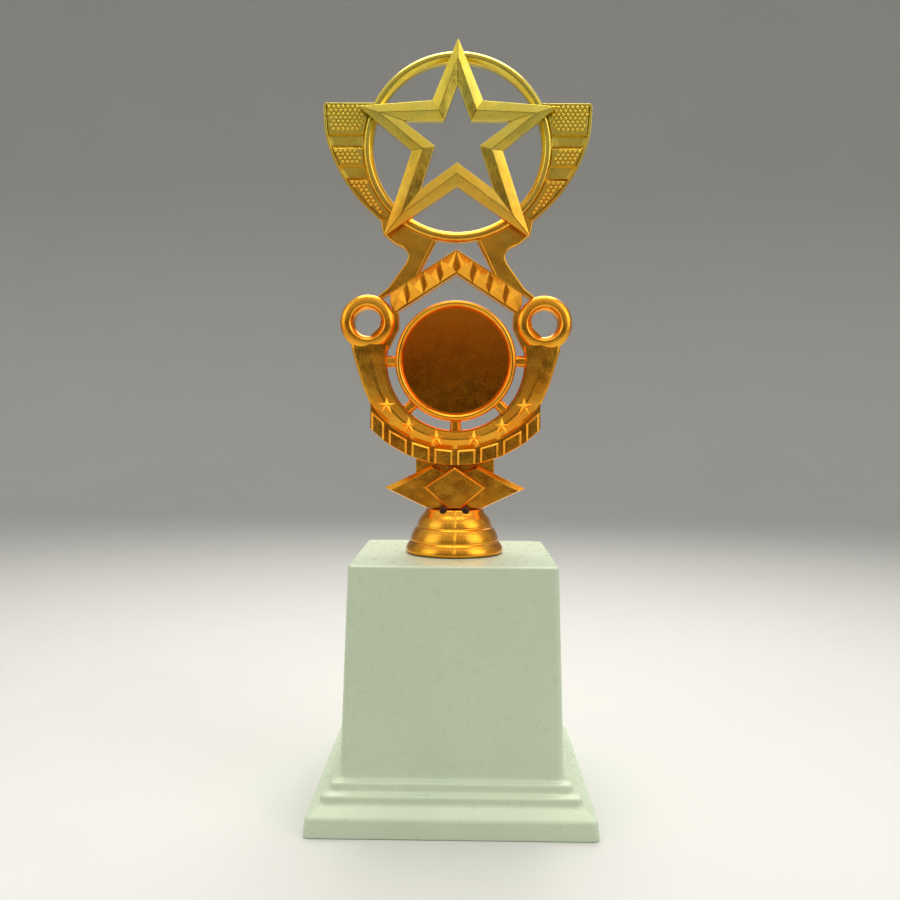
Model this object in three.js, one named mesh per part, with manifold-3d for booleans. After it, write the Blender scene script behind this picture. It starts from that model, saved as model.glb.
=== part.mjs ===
// Star trophy: an open gold figure held by one central rod on a hollow stepped plinth.
// Millimetres, +Z up. The figure faces -Y. The origin is on the table, under the middle of the plinth.
import * as THREE from 'three';
import { mergeVertices } from 'three/addons/utils/BufferGeometryUtils.js';
import Module from 'manifold-3d';

const wasm = await Module();
wasm.setup();

// ---------------------------------------------------------------- driving dimensions
const GAP = 0.3; // clearance between neighbouring pieces
const OVERLAP = 0.2; // how far the raised parts of one moulding run into each other

const PLINTH_TOP_Z = 89.8;
const PLINTH_CORNER_R = 2.4;
// Square sections of the plinth's outside, from the table up: [height, half width]
const PLINTH_OUTSIDE = [
  [0, 50], [6.4, 49.45], [7.5, 48.5], [8.5, 46.7], [9.3, 45.4], [10.1, 44.85], [12.2, 44.8],
  [12.9, 42.5], [13.9, 41.75], [15.9, 41.7], [16.5, 39.7], [17.5, 38.95], [19, 38.83], [PLINTH_TOP_Z, 36.75],
];
const PLINTH_CEILING_Z = 87.2;
// Square sections of its hollow, from below the open bottom up to the underside of the top wall
const PLINTH_INSIDE = [[-1, 47.3], [6, 46.7], [9, 42.2], [13, 39.2], [16.7, 36.4], [PLINTH_CEILING_Z, 34.4]];

const COVER = { half: 46.2, cornerR: 2, bottom: 1.5, top: 3.5 };
const SCREW = {
  offset: 39, shaftR: 1.2, coverHoleR: 1.6, headR: 2.6, headBottom: 0.4, tip: 10, postR: 3.4, postTop: 12.5,
};
const FELT = { offset: 30, radius: 7, thickness: 1.2 };

const ROD = { radius: 2.9, clearance: 0.5, bottom: 46, top: 96.7 };
const NUT = { cornerR: 5.6, holeR: 3.2, height: 4.9 };
const WASHER = { radius: 9, top: 56.7, thickness: 1.5 };
const BALLAST = { half: 31, cornerR: 3, bottom: 57, top: 86.9, holeR: 3.6 };

const FOOT_TOP_Z = 106.8;
const FOOT_BOTTOM_Z = PLINTH_TOP_Z + GAP;
// Outside of the foot, from the plinth up: [radius, height]
const FOOT_OUTSIDE = [
  [18.2, FOOT_BOTTOM_Z], [18.6, 90.7], [18.55, 91.6], [18.2, 92.7], [17.3, 94.1], [16.65, 94.5],
  [16.75, 95.1], [16.5, 96.5], [15.85, 98.1], [14.9, 99.6], [14.15, 99.95], [14.2, 100.6],
  [13.8, 102.1], [13, 103.5], [12.1, 104.55], [11.75, 105], [10.7, FOOT_TOP_Z],
];
const FOOT_POCKET = { radius: 6.4, ceiling: 97 };
const TONGUE = { half: 8, bottom: 99.3, back: 3, front: -1 };
const PIN = { headR: 1.6, shaftR: 0.9, x: 4.1, y: -9.5, headZ: 106.7, bottom: 101.5 };

const SPINE = { half: 15, shoulderZ: 116.5, flare: 0.6 };
const DIAMOND = { x: 8.7, z: 114.7, halfWidth: 18.1, halfHeight: 8.7, front: -5, back: -1.3, bevel: 0.8 };
const CENTRE_DIAMOND = {
  z: 115.1, halfWidth: 11.7, footHalf: 2.2, top: 122.95, front: -7.5, back: -5.3, bevel: 0.6,
};

const CUP = { z: 163, radius: 22.9, recessR: 20.2, front: -6.5, floor: -3.9, back: 2.6, roll: 1.4, edge: 0.8 };
const DISC = { radius: 19.9, front: -4.7 };
const SPOKE = { width: 4.5, front: -3.4, back: 2.2, root: 2, angles: [0, 180, 225, 270, 315] };

const BAND = { innerR: 26.25, front: -4, back: 3, straightX: 32.4, topZ: 168.7 };
// Right outer edge of the band, from the end of the tile strip up to the eyelet: [x, z]
const BAND_SIDE = [[32.75, 146.9], [35.8, 154.2], [37.8, 160.7], [40, BAND.topZ]];
const STRIP = { z: 168, outerR: 44.7, innerR: 39, front: -3.6, back: 3 };
const TILE = {
  pitch: 8.65, width: 7, endWidth: 5, height: 5.4, endHeight: 6.9, front: -6.6, sunk: 2, inset: 0.25,
};

const EYELET = { x: 33.65, z: 177.6, radius: 10.5, holeR: 5.1, front: -4.5, back: 3, edge: 1 };
// Right tab of the eyelet, down beside the cup from the chevron's end to the band, and the room round it: [x, z]
const TAB = [[21.7, 174.8], [25.8, 167], [33.65, 167.6], [33.65, 177.6], [26, 184.1], [21.7, 180.9]];
const TAB_ROOM = [[21.1, 174.8], [25.4, 166.7], [33.65, 167.2], [33.65, 184.7], [21.1, 184.7]];
const TAB_FRONT = -3;
const TAB_BACK = 2.5;
const THROUGH = 9; // half depth of the tools that cut right through the figure

const CHEVRON = {
  apexZ: 205.5, slope: 0.6525, thickness: 9.6, cells: 4, pitch: 6.25, edge: -3, peak: -5.2, back: 2.5,
};
const PEAK_SHARE = 0.02; // size of a pyramid's flat tip against its base

const RING = { z: 244.2, outerR: 36, innerR: 32, front: -2.6, back: 2.6, slopeWidth: 2.3, slopeBack: -0.6 };
const RING_EDGE = { front: 1, back: 0.6 };

const WING = {
  topZ: 260.4, bottomZ: 216.4, cornerX: 49.7, back: 2, base: -0.8, panel: -2.2, rim: -2.6, rimWidth: 1.5,
};
// Right wing's outer edge from its top corner to its lower end: [x, z]
const WING_EDGE = [[50.9, 258.8], [49.9, 247.7], [45.6, 236.1], [38.3, 225.2], [29.3, WING.bottomZ]];
// Heights of the wing's three raised panels: [low, high]
const WING_PANELS = [[248.7, 259.1], [237.1, 244.8], [217.6, 232.5]];

const STRUT = { innerX: 7.7, footInnerX: 14.2, footOuterX: 28, front: -2.5, back: 2.5 };
// Right strut's outer edge from the wing's lower end to the eyelet: [x, z]
const STRUT_SIDE = [
  [29, WING.bottomZ - GAP], [28.1, 211.4], [23.8, 207.8], [19.9, 205.9], [18.6, 204.1], [18.5, 202.2],
  [19.3, 200.3], [26.1, 190.8], [30.8, 188.5],
];

const STAR = { edge: -6, ridge: -7.4, back: -2.9 };
// The star's corners on its outer edge, on its ridge and on its inner edge; the left half mirrors the right
const STAR_OUTER = {
  top: 283.3, upper: [9.6, 260.1], side: [37.3, 258], waist: [17, 241.5], lower: [27.6, 209.4], bottom: 228.3,
};
const STAR_RIDGE = {
  top: 275.7, upper: [7.1, 256.1], side: [29.4, 255.3], waist: [12.8, 241.8], lower: [21, 217.3], bottom: 232.8,
};
const STAR_INNER = {
  top: 266.5, upper: [5, 252.7], side: [20.5, 252.6], waist: [8.45, 243.3], lower: [13.65, 227.2], bottom: 237.2,
};

// ---------------------------------------------------------------- materials
const paint = (name, color, roughness, metalness) =>
  Object.assign(new THREE.MeshStandardMaterial({ color, roughness, metalness }), { name });
const gold = paint('gold_plating', 0xc98a1e, 0.28, 1);
const mirrorGold = paint('gold_foil', 0xb8741c, 0.18, 1);
const brownPin = paint('pin_enamel', 0x3a1a0c, 0.15, 0);
const ivory = paint('ivory_plastic', 0xc9d6bd, 0.4, 0);
const steel = paint('zinc_steel', 0xa9abad, 0.35, 1);
const cement = paint('cement', 0x9a968c, 0.9, 0);
const blackPlastic = paint('cover_plastic', 0x222222, 0.6, 0);
const felt = paint('felt', 0x1f4a35, 0.95, 0);

// ---------------------------------------------------------------- geometry helpers
const mirrored = (points) => points.map(([x, z]) => [-x, z]);

/** Merge a geometry's coincident corners and drop its collapsed triangles. */
function weld(geometry) {
  geometry.deleteAttribute('normal');
  geometry.deleteAttribute('uv');
  const merged = mergeVertices(geometry, 1e-4);
  const kept = [];
  const index = merged.index.array;
  for (let i = 0; i < index.length; i += 3) {
    const [a, b, c] = [index[i], index[i + 1], index[i + 2]];
    if (a !== b && b !== c && c !== a) kept.push(a, b, c);
  }
  merged.setIndex(kept);
  return merged;
}

function toSolid(geometry) {
  const welded = weld(geometry.clone());
  return new wasm.Manifold(new wasm.Mesh({
    numProp: 3,
    vertProperties: new Float32Array(welded.attributes.position.array),
    triVerts: new Uint32Array(welded.index.array),
  }));
}

function fromSolid(solid) {
  const mesh = solid.getMesh();
  const geometry = new THREE.BufferGeometry();
  geometry.setAttribute('position', new THREE.BufferAttribute(new Float32Array(mesh.vertProperties), 3));
  geometry.setIndex([...mesh.triVerts]);
  return geometry;
}

const join = (first, ...others) =>
  fromSolid(others.reduce((solid, other) => solid.add(toSolid(other)), toSolid(first)));
const cut = (first, ...tools) =>
  fromSolid(tools.reduce((solid, tool) => solid.subtract(toSolid(tool)), toSolid(first)));

/** Points on an arc about [cx, cz], angles in degrees from +X towards +Z. */
function arc(cx, cz, radius, from, to, steps) {
  return Array.from({ length: steps + 1 }, (_, i) => {
    const angle = THREE.MathUtils.degToRad(from + ((to - from) * i) / steps);
    return [cx + radius * Math.cos(angle), cz + radius * Math.sin(angle)];
  });
}

const path = (points) => points.map(([x, z]) => new THREE.Vector2(x, z));

/** A flat piece: an outline in the XZ plane, running from y = front to y = back. */
function slab(outline, front, back, bevel = 0) {
  const geometry = new THREE.ExtrudeGeometry(new THREE.Shape(path(outline)), {
    depth: back - front - 2 * bevel,
    bevelEnabled: bevel > 0,
    bevelThickness: bevel,
    bevelSize: bevel,
    bevelOffset: -bevel,
    bevelSegments: 1,
  });
  return geometry.translate(0, 0, bevel).rotateX(Math.PI / 2).translate(0, back, 0);
}

/** A turned piece about the Y axis, from a closed [radius, y] profile. */
function turned(profile, segments) {
  const area = profile.reduce((sum, [r, y], i) => {
    const [r2, y2] = profile[(i + 1) % profile.length];
    return sum + r * y2 - r2 * y;
  }, 0);
  const ordered = area > 0 ? profile : [...profile].reverse();
  return weld(new THREE.LatheGeometry(path([...ordered, ordered[0]]), segments));
}

/** The same piece standing up: its profile is [radius, z] about the Z axis. */
const upright = (profile, segments) => turned(profile, segments).rotateX(Math.PI / 2);

const disc = (radius, bottom, top, segments) =>
  upright([[0, bottom], [radius, bottom], [radius, top], [0, top]], segments);
const tube = (radius, holeR, bottom, top, segments) =>
  upright([[holeR, bottom], [radius, bottom], [radius, top], [holeR, top]], segments);

/** A closed body from corners and triangles, turned over if its faces point in. */
function facingOut(positions, index) {
  const corner = (i) => new THREE.Vector3().fromArray(positions, index[i] * 3);
  let volume = 0;
  for (let i = 0; i < index.length; i += 3) {
    volume += corner(i).dot(corner(i + 1).cross(corner(i + 2)));
  }
  const geometry = new THREE.BufferGeometry();
  geometry.setAttribute('position', new THREE.Float32BufferAttribute(positions, 3));
  geometry.setIndex(volume > 0 ? index : [...index].reverse());
  return geometry;
}

/** A closed body through a stack of loops that all have the same number of corners. */
function stack(loops) {
  const count = loops[0].length;
  const positions = loops.flat(2);
  const index = [];
  for (let level = 0; level + 1 < loops.length; level++) {
    for (let i = 0; i < count; i++) {
      const a = level * count + i;
      const b = level * count + ((i + 1) % count);
      index.push(a, b, b + count, a, b + count, a + count);
    }
  }
  const last = (loops.length - 1) * count;
  for (let i = 1; i + 1 < count; i++) {
    index.push(0, i + 1, i);
    index.push(last, last + i, last + i + 1);
  }
  return facingOut(positions, index);
}

/** A frame: the loops of its section follow one closed outline and join back to the first loop. */
function frameOf(loops) {
  const count = loops[0].length;
  const index = [];
  for (let level = 0; level < loops.length; level++) {
    const next = ((level + 1) % loops.length) * count;
    for (let i = 0; i < count; i++) {
      const a = level * count + i;
      const b = level * count + ((i + 1) % count);
      const c = next + ((i + 1) % count);
      const d = next + i;
      index.push(a, b, c, a, c, d);
    }
  }
  return facingOut(loops.flat(2), index);
}

/** A square loop with rounded corners at one height. */
function squareLoop(z, half, radius) {
  const centre = half - radius;
  const corners = [[1, 1, 0], [-1, 1, 90], [-1, -1, 180], [1, -1, 270]];
  return corners.flatMap(([sx, sy, start]) =>
    arc(sx * centre, sy * centre, radius, start, start + 90, 3).map(([x, y]) => [x, y, z]));
}

// ---------------------------------------------------------------- plinth
const plinth = new THREE.Group();
const figure = new THREE.Group();

function add(group, name, geometry, material, position = [0, 0, 0]) {
  const mesh = new THREE.Mesh(geometry, material);
  mesh.name = name;
  mesh.position.set(...position);
  group.add(mesh);
}

const corners = [[1, 1], [-1, 1], [-1, -1], [1, -1]];

/** One hollow moulding, open at the bottom, with a rod hole and four screw posts. */
function plinthShell() {
  const outside = stack(PLINTH_OUTSIDE.map(([z, half]) => squareLoop(z, half, PLINTH_CORNER_R)));
  const inside = stack(PLINTH_INSIDE.map(([z, half]) => squareLoop(z, half, PLINTH_CORNER_R)));
  const hollow = cut(outside, inside);
  const posts = corners.map(([sx, sy]) =>
    disc(SCREW.postR, COVER.top + GAP, SCREW.postTop, 12)
      .translate(sx * SCREW.offset, sy * SCREW.offset, 0));
  const screwHoles = corners.map(([sx, sy]) =>
    disc(SCREW.shaftR + GAP, 0, SCREW.tip + 1, 10).translate(sx * SCREW.offset, sy * SCREW.offset, 0));
  const rodHole = disc(ROD.radius + ROD.clearance, PLINTH_CEILING_Z - 1, PLINTH_TOP_Z + 1, 20);
  return cut(join(hollow, ...posts), ...screwHoles, rodHole);
}

function bottomCover() {
  const plate = stack([
    squareLoop(COVER.bottom, COVER.half, COVER.cornerR), squareLoop(COVER.top, COVER.half, COVER.cornerR),
  ]);
  const holes = corners.map(([sx, sy]) =>
    disc(SCREW.coverHoleR, 0, COVER.top + 1, 10).translate(sx * SCREW.offset, sy * SCREW.offset, 0));
  return cut(plate, ...holes);
}

function coverScrew() {
  const neck = COVER.bottom - GAP;
  return upright([
    [0, SCREW.headBottom], [SCREW.headR, SCREW.headBottom], [SCREW.headR, neck],
    [SCREW.shaftR, neck], [SCREW.shaftR, SCREW.tip - 1], [0, SCREW.tip],
  ], 12);
}

function ballastBlock() {
  const { half, cornerR, bottom, top, holeR } = BALLAST;
  const block = stack([squareLoop(bottom, half, cornerR), squareLoop(top, half, cornerR)]);
  return cut(block, disc(holeR, bottom - 1, top + 1, 20));
}

add(plinth, 'plinth_shell', plinthShell(), ivory);
add(plinth, 'ballast_block', ballastBlock(), cement);
add(plinth, 'bottom_cover', bottomCover(), blackPlastic);
corners.forEach(([sx, sy], i) => {
  add(plinth, `cover_screw_${i + 1}`, coverScrew(), steel, [sx * SCREW.offset, sy * SCREW.offset, 0]);
  add(plinth, `felt_pad_${i + 1}`, disc(FELT.radius, 0, FELT.thickness, 20), felt,
    [sx * FELT.offset, sy * FELT.offset, 0]);
});

// ---------------------------------------------------------------- fixing and foot
function hexNut(bottom) {
  const nut = disc(NUT.cornerR, bottom, bottom + NUT.height, 6);
  return cut(nut, disc(NUT.holeR, bottom - 1, bottom + NUT.height + 1, 20));
}

/** A round head on a thin shaft: the shape of a pin, and a size larger of the hole that it sits in. */
function lollipop(shaftR, headR, bottom) {
  const neck = THREE.MathUtils.radToDeg(Math.acos(shaftR / headR));
  return upright([[0, bottom], [shaftR, bottom], ...arc(0, PIN.headZ, headR, -neck, 90, 7)], 16);
}

/** Round foot with two beads, a nut pocket below, and a slot above for the spine's tongue. */
function footBody() {
  const body = upright([
    [FOOT_POCKET.radius, FOOT_BOTTOM_Z], ...FOOT_OUTSIDE,
    [0, FOOT_TOP_Z], [0, FOOT_POCKET.ceiling], [FOOT_POCKET.radius, FOOT_POCKET.ceiling],
  ], 48);
  const half = TONGUE.half + GAP;
  const [low, high] = [TONGUE.bottom - GAP, FOOT_TOP_Z + 1];
  const opening = [[-half, low], [half, low], [half, high], [-half, high]];
  const slot = slab(opening, TONGUE.front - GAP, TONGUE.back + GAP);
  const pinHole = lollipop(PIN.shaftR + GAP, PIN.headR + GAP, PIN.bottom - GAP);
  const pinHoles = [-1, 1].map((side) => pinHole.clone().translate(side * PIN.x, PIN.y, 0));
  return cut(body, slot, ...pinHoles);
}

add(figure, 'threaded_rod', disc(ROD.radius, ROD.bottom, ROD.top, 20), steel);
const washerBottom = WASHER.top - WASHER.thickness;
add(figure, 'lower_nut', hexNut(washerBottom - GAP - NUT.height), steel);
add(figure, 'lower_washer', tube(WASHER.radius, NUT.holeR, washerBottom, WASHER.top, 28), steel);
add(figure, 'foot_nut', hexNut(FOOT_POCKET.ceiling - GAP - NUT.height), steel);
add(figure, 'foot', footBody(), gold);
const pinShape = lollipop(PIN.shaftR, PIN.headR, PIN.bottom);
add(figure, 'left_pin', pinShape, brownPin, [-PIN.x, PIN.y, 0]);
add(figure, 'right_pin', pinShape, brownPin, [PIN.x, PIN.y, 0]);

// ---------------------------------------------------------------- spine and diamonds
function spinePlate() {
  const topR = STRIP.outerR + GAP;
  const edge = THREE.MathUtils.radToDeg(Math.asin(SPINE.half / topR));
  const shoulder = FOOT_TOP_Z + GAP;
  const right = [
    [SPINE.half, SPINE.shoulderZ], [TONGUE.half + SPINE.flare, shoulder], [TONGUE.half, shoulder],
    [TONGUE.half, TONGUE.bottom],
  ];
  return slab([
    ...arc(0, STRIP.z, topR, -90 - edge, -90 + edge, 12), ...right, ...mirrored(right).reverse(),
  ], TONGUE.front, TONGUE.back);
}

/** Right half of the pair of wide diamonds, cut off at the middle and above the foot. */
function sideDiamondOutline() {
  const { x, z, halfWidth, halfHeight } = DIAMOND;
  const slope = halfHeight / halfWidth;
  const inner = GAP / 2;
  const floor = FOOT_TOP_Z + GAP;
  const spread = (floor - (z - halfHeight)) / slope;
  const reach = (inner - x + halfWidth) * slope;
  return [
    [inner, z - reach], [x - spread, floor], [x + spread, floor], [x + halfWidth, z],
    [x, z + halfHeight], [inner, z + reach],
  ];
}

function centreDiamond() {
  const { z, halfWidth, footHalf, top, front, back, bevel } = CENTRE_DIAMOND;
  const floor = FOOT_TOP_Z + GAP;
  const outline = [[-halfWidth, z], [-footHalf, floor], [footHalf, floor], [halfWidth, z], [0, top]];
  return slab(outline, front, back, bevel);
}

const sideDiamond = (outline) => slab(outline, DIAMOND.front, DIAMOND.back, DIAMOND.bevel);

add(figure, 'spine_plate', spinePlate(), gold);
add(figure, 'left_diamond', sideDiamond(mirrored(sideDiamondOutline())), gold);
add(figure, 'right_diamond', sideDiamond(sideDiamondOutline()), gold);
add(figure, 'centre_diamond', centreDiamond(), gold);

// ---------------------------------------------------------------- medallion, band and tiles
/** Shallow round cup with five short spokes that reach the band. */
function medallionCup() {
  const { radius, recessR, front, floor, back, roll, edge } = CUP;
  const rim = arc((radius + recessR) / 2, front + roll, roll, 0, -180, 6);
  const cup = turned([
    [0, back], [radius - edge, back], [radius, back - edge], ...rim, [recessR, floor], [0, floor],
  ], 56);
  const half = SPOKE.width / 2;
  const [start, end] = [radius - SPOKE.root, BAND.innerR - GAP];
  const bar = slab([[start, -half], [end, -half], [end, half], [start, half]], SPOKE.front, SPOKE.back);
  const spokes = SPOKE.angles.map((angle) => bar.clone().rotateY(-THREE.MathUtils.degToRad(angle)));
  return join(cup, ...spokes);
}

function medallionDisc() {
  const back = CUP.floor - GAP;
  return turned([[0, back], [DISC.radius, back], [DISC.radius, DISC.front], [0, DISC.front]], 48);
}

/** Round plug along the Y axis, long enough to pass right through the figure. */
const plug = (radius, segments) =>
  turned([[0, -THROUGH], [radius, -THROUGH], [radius, THROUGH], [0, THROUGH]], segments);

/** Room kept free around one eyelet and its tab. */
const eyeletRoom = (side) => join(
  plug(EYELET.radius + GAP, 40).translate(side * EYELET.x, 0, EYELET.z),
  slab(side > 0 ? TAB_ROOM : mirrored(TAB_ROOM), -THROUGH, THROUGH),
);

/** Round eye with a rolled front, and a tab that runs down to the band. */
function eyelet(side) {
  const { radius, holeR, front, back, edge } = EYELET;
  const middle = (radius + holeR) / 2;
  const round = (radius - holeR) / 2;
  const eye = turned([
    ...arc(middle, front + round, round, 180, 360, 8),
    [radius, back - edge], [radius - edge, back], [holeR + edge, back], [holeR, back - edge],
  ], 36).translate(side * EYELET.x, 0, EYELET.z);
  const tab = slab(side > 0 ? TAB : mirrored(TAB), TAB_FRONT, TAB_BACK);
  return join(eye, cut(tab, plug(middle, 36).translate(side * EYELET.x, 0, EYELET.z)));
}

/** Horseshoe band round the lower part of the cup, above the row of tiles. */
function lowerBand() {
  const outerR = STRIP.innerR - GAP;
  const seam = THREE.MathUtils.radToDeg(Math.acos(BAND.straightX / outerR));
  const end = THREE.MathUtils.radToDeg(Math.asin((BAND.topZ - CUP.z) / BAND.innerR));
  const outline = [
    ...arc(0, STRIP.z, outerR, -180 + seam, -seam, 28), ...BAND_SIDE,
    ...arc(0, CUP.z, BAND.innerR, end, -180 - end, 40), ...mirrored(BAND_SIDE).reverse(),
  ];
  return cut(slab(outline, BAND.front, BAND.back), eyeletRoom(1), eyeletRoom(-1));
}

/** Curved strip under the band that carries eight raised tiles with upright sides. */
function tileStrip() {
  const outerEdge = THREE.MathUtils.radToDeg(Math.acos(BAND.straightX / STRIP.outerR));
  const innerEdge = THREE.MathUtils.radToDeg(Math.acos(BAND.straightX / STRIP.innerR));
  const strip = slab([
    ...arc(0, STRIP.z, STRIP.outerR, -180 + outerEdge, -outerEdge, 28),
    ...arc(0, STRIP.z, STRIP.innerR, -innerEdge, -180 + innerEdge, 28),
  ], STRIP.front, STRIP.back);
  const arcZ = (x) => STRIP.z - Math.sqrt((STRIP.outerR - TILE.inset) ** 2 - x ** 2);
  const tiles = [0, 1, 2, 3].flatMap((i) => {
    const left = TILE.pitch * (i + 0.5) - TILE.width / 2;
    const right = left + (i === 3 ? TILE.endWidth : TILE.width);
    const height = i === 3 ? TILE.endHeight : TILE.height;
    const outline = [
      [left, arcZ(left)], [right, arcZ(right)], [right, arcZ(right) + height], [left, arcZ(left) + height],
    ];
    return [outline, mirrored(outline)];
  });
  return join(strip, ...tiles.map((outline) => slab(outline, TILE.front, STRIP.front + TILE.sunk)));
}

add(figure, 'medallion_cup', medallionCup(), gold, [0, 0, CUP.z]);
add(figure, 'medallion_disc', medallionDisc(), mirrorGold, [0, 0, CUP.z]);
add(figure, 'left_eyelet', eyelet(-1), gold);
add(figure, 'right_eyelet', eyelet(1), gold);
add(figure, 'lower_band', lowerBand(), gold);
add(figure, 'tile_strip', tileStrip(), gold);

// ---------------------------------------------------------------- chevron and struts
const chevronTop = (x) => CHEVRON.apexZ - CHEVRON.slope * Math.abs(x);
const chevronBottom = (x) => chevronTop(x) - CHEVRON.thickness;

/** Bent bar over the cup. Each cell of its face is a low four-sided pyramid with upright sides. */
function chevronBar() {
  const columns = [];
  for (let i = -CHEVRON.cells; i <= CHEVRON.cells; i++) columns.push(i * CHEVRON.pitch);
  const body = slab([
    ...columns.map((x) => [x, chevronTop(x)]),
    ...[...columns].reverse().map((x) => [x, chevronBottom(x)]),
  ], CHEVRON.edge, CHEVRON.back);
  const pyramids = columns.slice(0, -1).map((left, i) => {
    const right = columns[i + 1];
    const middle = (left + right) / 2;
    const centreZ = chevronTop(middle) - CHEVRON.thickness / 2;
    const base = [
      [left, chevronTop(left)], [left, chevronBottom(left)],
      [right, chevronBottom(right)], [right, chevronTop(right)],
    ];
    const loop = (y) => base.map(([x, z]) => [x, y, z]);
    const peak = base.map(([x, z]) =>
      [middle + (x - middle) * PEAK_SHARE, CHEVRON.peak, centreZ + (z - centreZ) * PEAK_SHARE]);
    return stack([peak, loop(CHEVRON.edge), loop(CHEVRON.edge + 1)]);
  });
  return cut(join(body, ...pyramids), eyeletRoom(1), eyeletRoom(-1));
}

/** Leg from the ring down to the chevron's shoulder, waisted on its outer side. */
function strutOutline() {
  const ringR = RING.outerR + GAP;
  const from = THREE.MathUtils.radToDeg(Math.asin(STRUT.innerX / ringR)) - 90;
  const to = -THREE.MathUtils.radToDeg(Math.asin((RING.z - WING.bottomZ + GAP) / ringR));
  const lift = GAP * Math.hypot(1, CHEVRON.slope); // upright distance that leaves the gap square to the chevron
  return [
    ...arc(0, RING.z, ringR, from, to, 8), ...STRUT_SIDE,
    [STRUT.footOuterX, chevronTop(STRUT.footOuterX) + lift],
    [STRUT.footInnerX, chevronTop(STRUT.footInnerX) + lift],
  ];
}

const strut = (side) => cut(
  slab(side > 0 ? strutOutline() : mirrored(strutOutline()), STRUT.front, STRUT.back), eyeletRoom(side));

add(figure, 'chevron_bar', chevronBar(), gold);
add(figure, 'left_strut', strut(-1), gold);
add(figure, 'right_strut', strut(1), gold);

// ---------------------------------------------------------------- ring, wings and star
function ring() {
  const { outerR, innerR, front, back, slopeWidth, slopeBack } = RING;
  return turned([
    [innerR, back - RING_EDGE.back], [innerR, slopeBack], [innerR + slopeWidth, front],
    [outerR - RING_EDGE.front, front], [outerR, front + RING_EDGE.front],
    [outerR, back - RING_EDGE.back], [outerR - RING_EDGE.back, back], [innerR + RING_EDGE.back, back],
  ], 72);
}

const wingEdgePoints = new THREE.SplineCurve(path(WING_EDGE)).getPoints(16).map(({ x, y }) => [x, y]);

/** x of the wing's outer edge at one height. */
function wingEdgeX(z) {
  const next = Math.max(1, wingEdgePoints.findIndex(([, pointZ]) => pointZ <= z));
  const [x1, z1] = wingEdgePoints[next];
  const [x0, z0] = wingEdgePoints[next - 1];
  return x0 + ((x1 - x0) * (z - z0)) / (z1 - z0);
}

const ringSideX = (z, radius) => Math.sqrt(radius ** 2 - (z - RING.z) ** 2);

/** Heights in even steps, the lowest first. */
const levels = (low, high, steps) => Array.from({ length: steps + 1 }, (_, i) => low + ((high - low) * i) / steps);

/** The wing's width between two heights, from its outer edge less a margin to its ring side. */
function wingBand(low, high, radius, margin) {
  const heights = levels(low, high, 6);
  return [
    ...heights.map((z) => [wingEdgeX(z) - margin, z]),
    ...heights.reverse().map((z) => [ringSideX(z, radius), z]),
  ];
}

/** Backing plate, raised rim along the top and outer edge, and three raised panels. */
function wing(side) {
  const turn = (outline) => (side > 0 ? outline : mirrored(outline));
  const inner = RING.outerR + GAP;
  const { topZ, bottomZ, cornerX, back, base, panel, rim, rimWidth } = WING;
  const rimBottom = topZ - rimWidth;
  const ringSide = levels(bottomZ, topZ, 16).map((z) => [ringSideX(z, inner), z]);
  const outerEdge = [[cornerX, topZ], ...wingEdgePoints];
  const innerEdge = [
    [ringSideX(rimBottom, inner), rimBottom], [cornerX - rimWidth / 2, rimBottom],
    ...wingEdgePoints.slice(1).map(([x, z]) => [x - rimWidth, z]),
  ];
  const rimOutline = [[ringSideX(topZ, inner), topZ], ...outerEdge, ...innerEdge.reverse()];
  return join(
    slab(turn([...outerEdge, ...ringSide]), base, back),
    slab(turn(rimOutline), rim, base + 1),
    ...WING_PANELS.map(([low, high]) =>
      slab(turn(wingBand(low, high, inner + OVERLAP, rimWidth - OVERLAP)), panel, base + 1)),
  );
}

/** Ten corners of a five-pointed outline, clockwise from the top tip. */
function starLoop({ top, upper, side, waist, lower, bottom }, y) {
  const right = [upper, side, waist, lower];
  return [[0, top], ...right, [0, bottom], ...mirrored(right).reverse()].map(([x, z]) => [x, y, z]);
}

/** Open star with a crisp ridge along every arm and upright side walls. */
const starEmblem = () => frameOf([
  starLoop(STAR_OUTER, STAR.back), starLoop(STAR_OUTER, STAR.edge), starLoop(STAR_RIDGE, STAR.ridge),
  starLoop(STAR_INNER, STAR.edge), starLoop(STAR_INNER, STAR.back),
]);

add(figure, 'ring', ring(), gold, [0, 0, RING.z]);
add(figure, 'left_wing', wing(-1), gold);
add(figure, 'right_wing', wing(1), gold);
add(figure, 'star_emblem', starEmblem(), gold);

const trophy = new THREE.Group();
trophy.add(plinth, figure);

export default trophy;
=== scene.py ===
"""Looks of the star trophy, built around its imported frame.

Pieces are made in millimetres, and piece() turns them into metres. Materials, floor, lights and camera are
in metres throughout.
"""

import math

import bmesh
import bpy
from mathutils import Matrix, Vector, noise


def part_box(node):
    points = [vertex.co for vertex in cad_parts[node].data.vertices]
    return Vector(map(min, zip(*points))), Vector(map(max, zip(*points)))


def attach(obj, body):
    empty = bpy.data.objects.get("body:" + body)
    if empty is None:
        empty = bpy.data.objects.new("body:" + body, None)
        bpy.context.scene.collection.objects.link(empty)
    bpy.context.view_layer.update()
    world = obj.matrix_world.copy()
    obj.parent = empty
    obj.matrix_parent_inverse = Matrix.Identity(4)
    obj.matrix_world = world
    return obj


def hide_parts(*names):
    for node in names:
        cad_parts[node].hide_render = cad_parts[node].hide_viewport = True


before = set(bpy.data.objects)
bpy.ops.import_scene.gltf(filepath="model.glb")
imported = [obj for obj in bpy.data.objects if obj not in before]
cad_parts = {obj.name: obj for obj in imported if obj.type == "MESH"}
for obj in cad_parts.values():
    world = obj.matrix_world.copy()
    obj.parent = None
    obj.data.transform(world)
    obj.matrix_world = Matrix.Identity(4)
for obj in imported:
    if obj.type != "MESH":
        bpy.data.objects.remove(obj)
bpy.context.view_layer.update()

MM = 0.001


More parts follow.
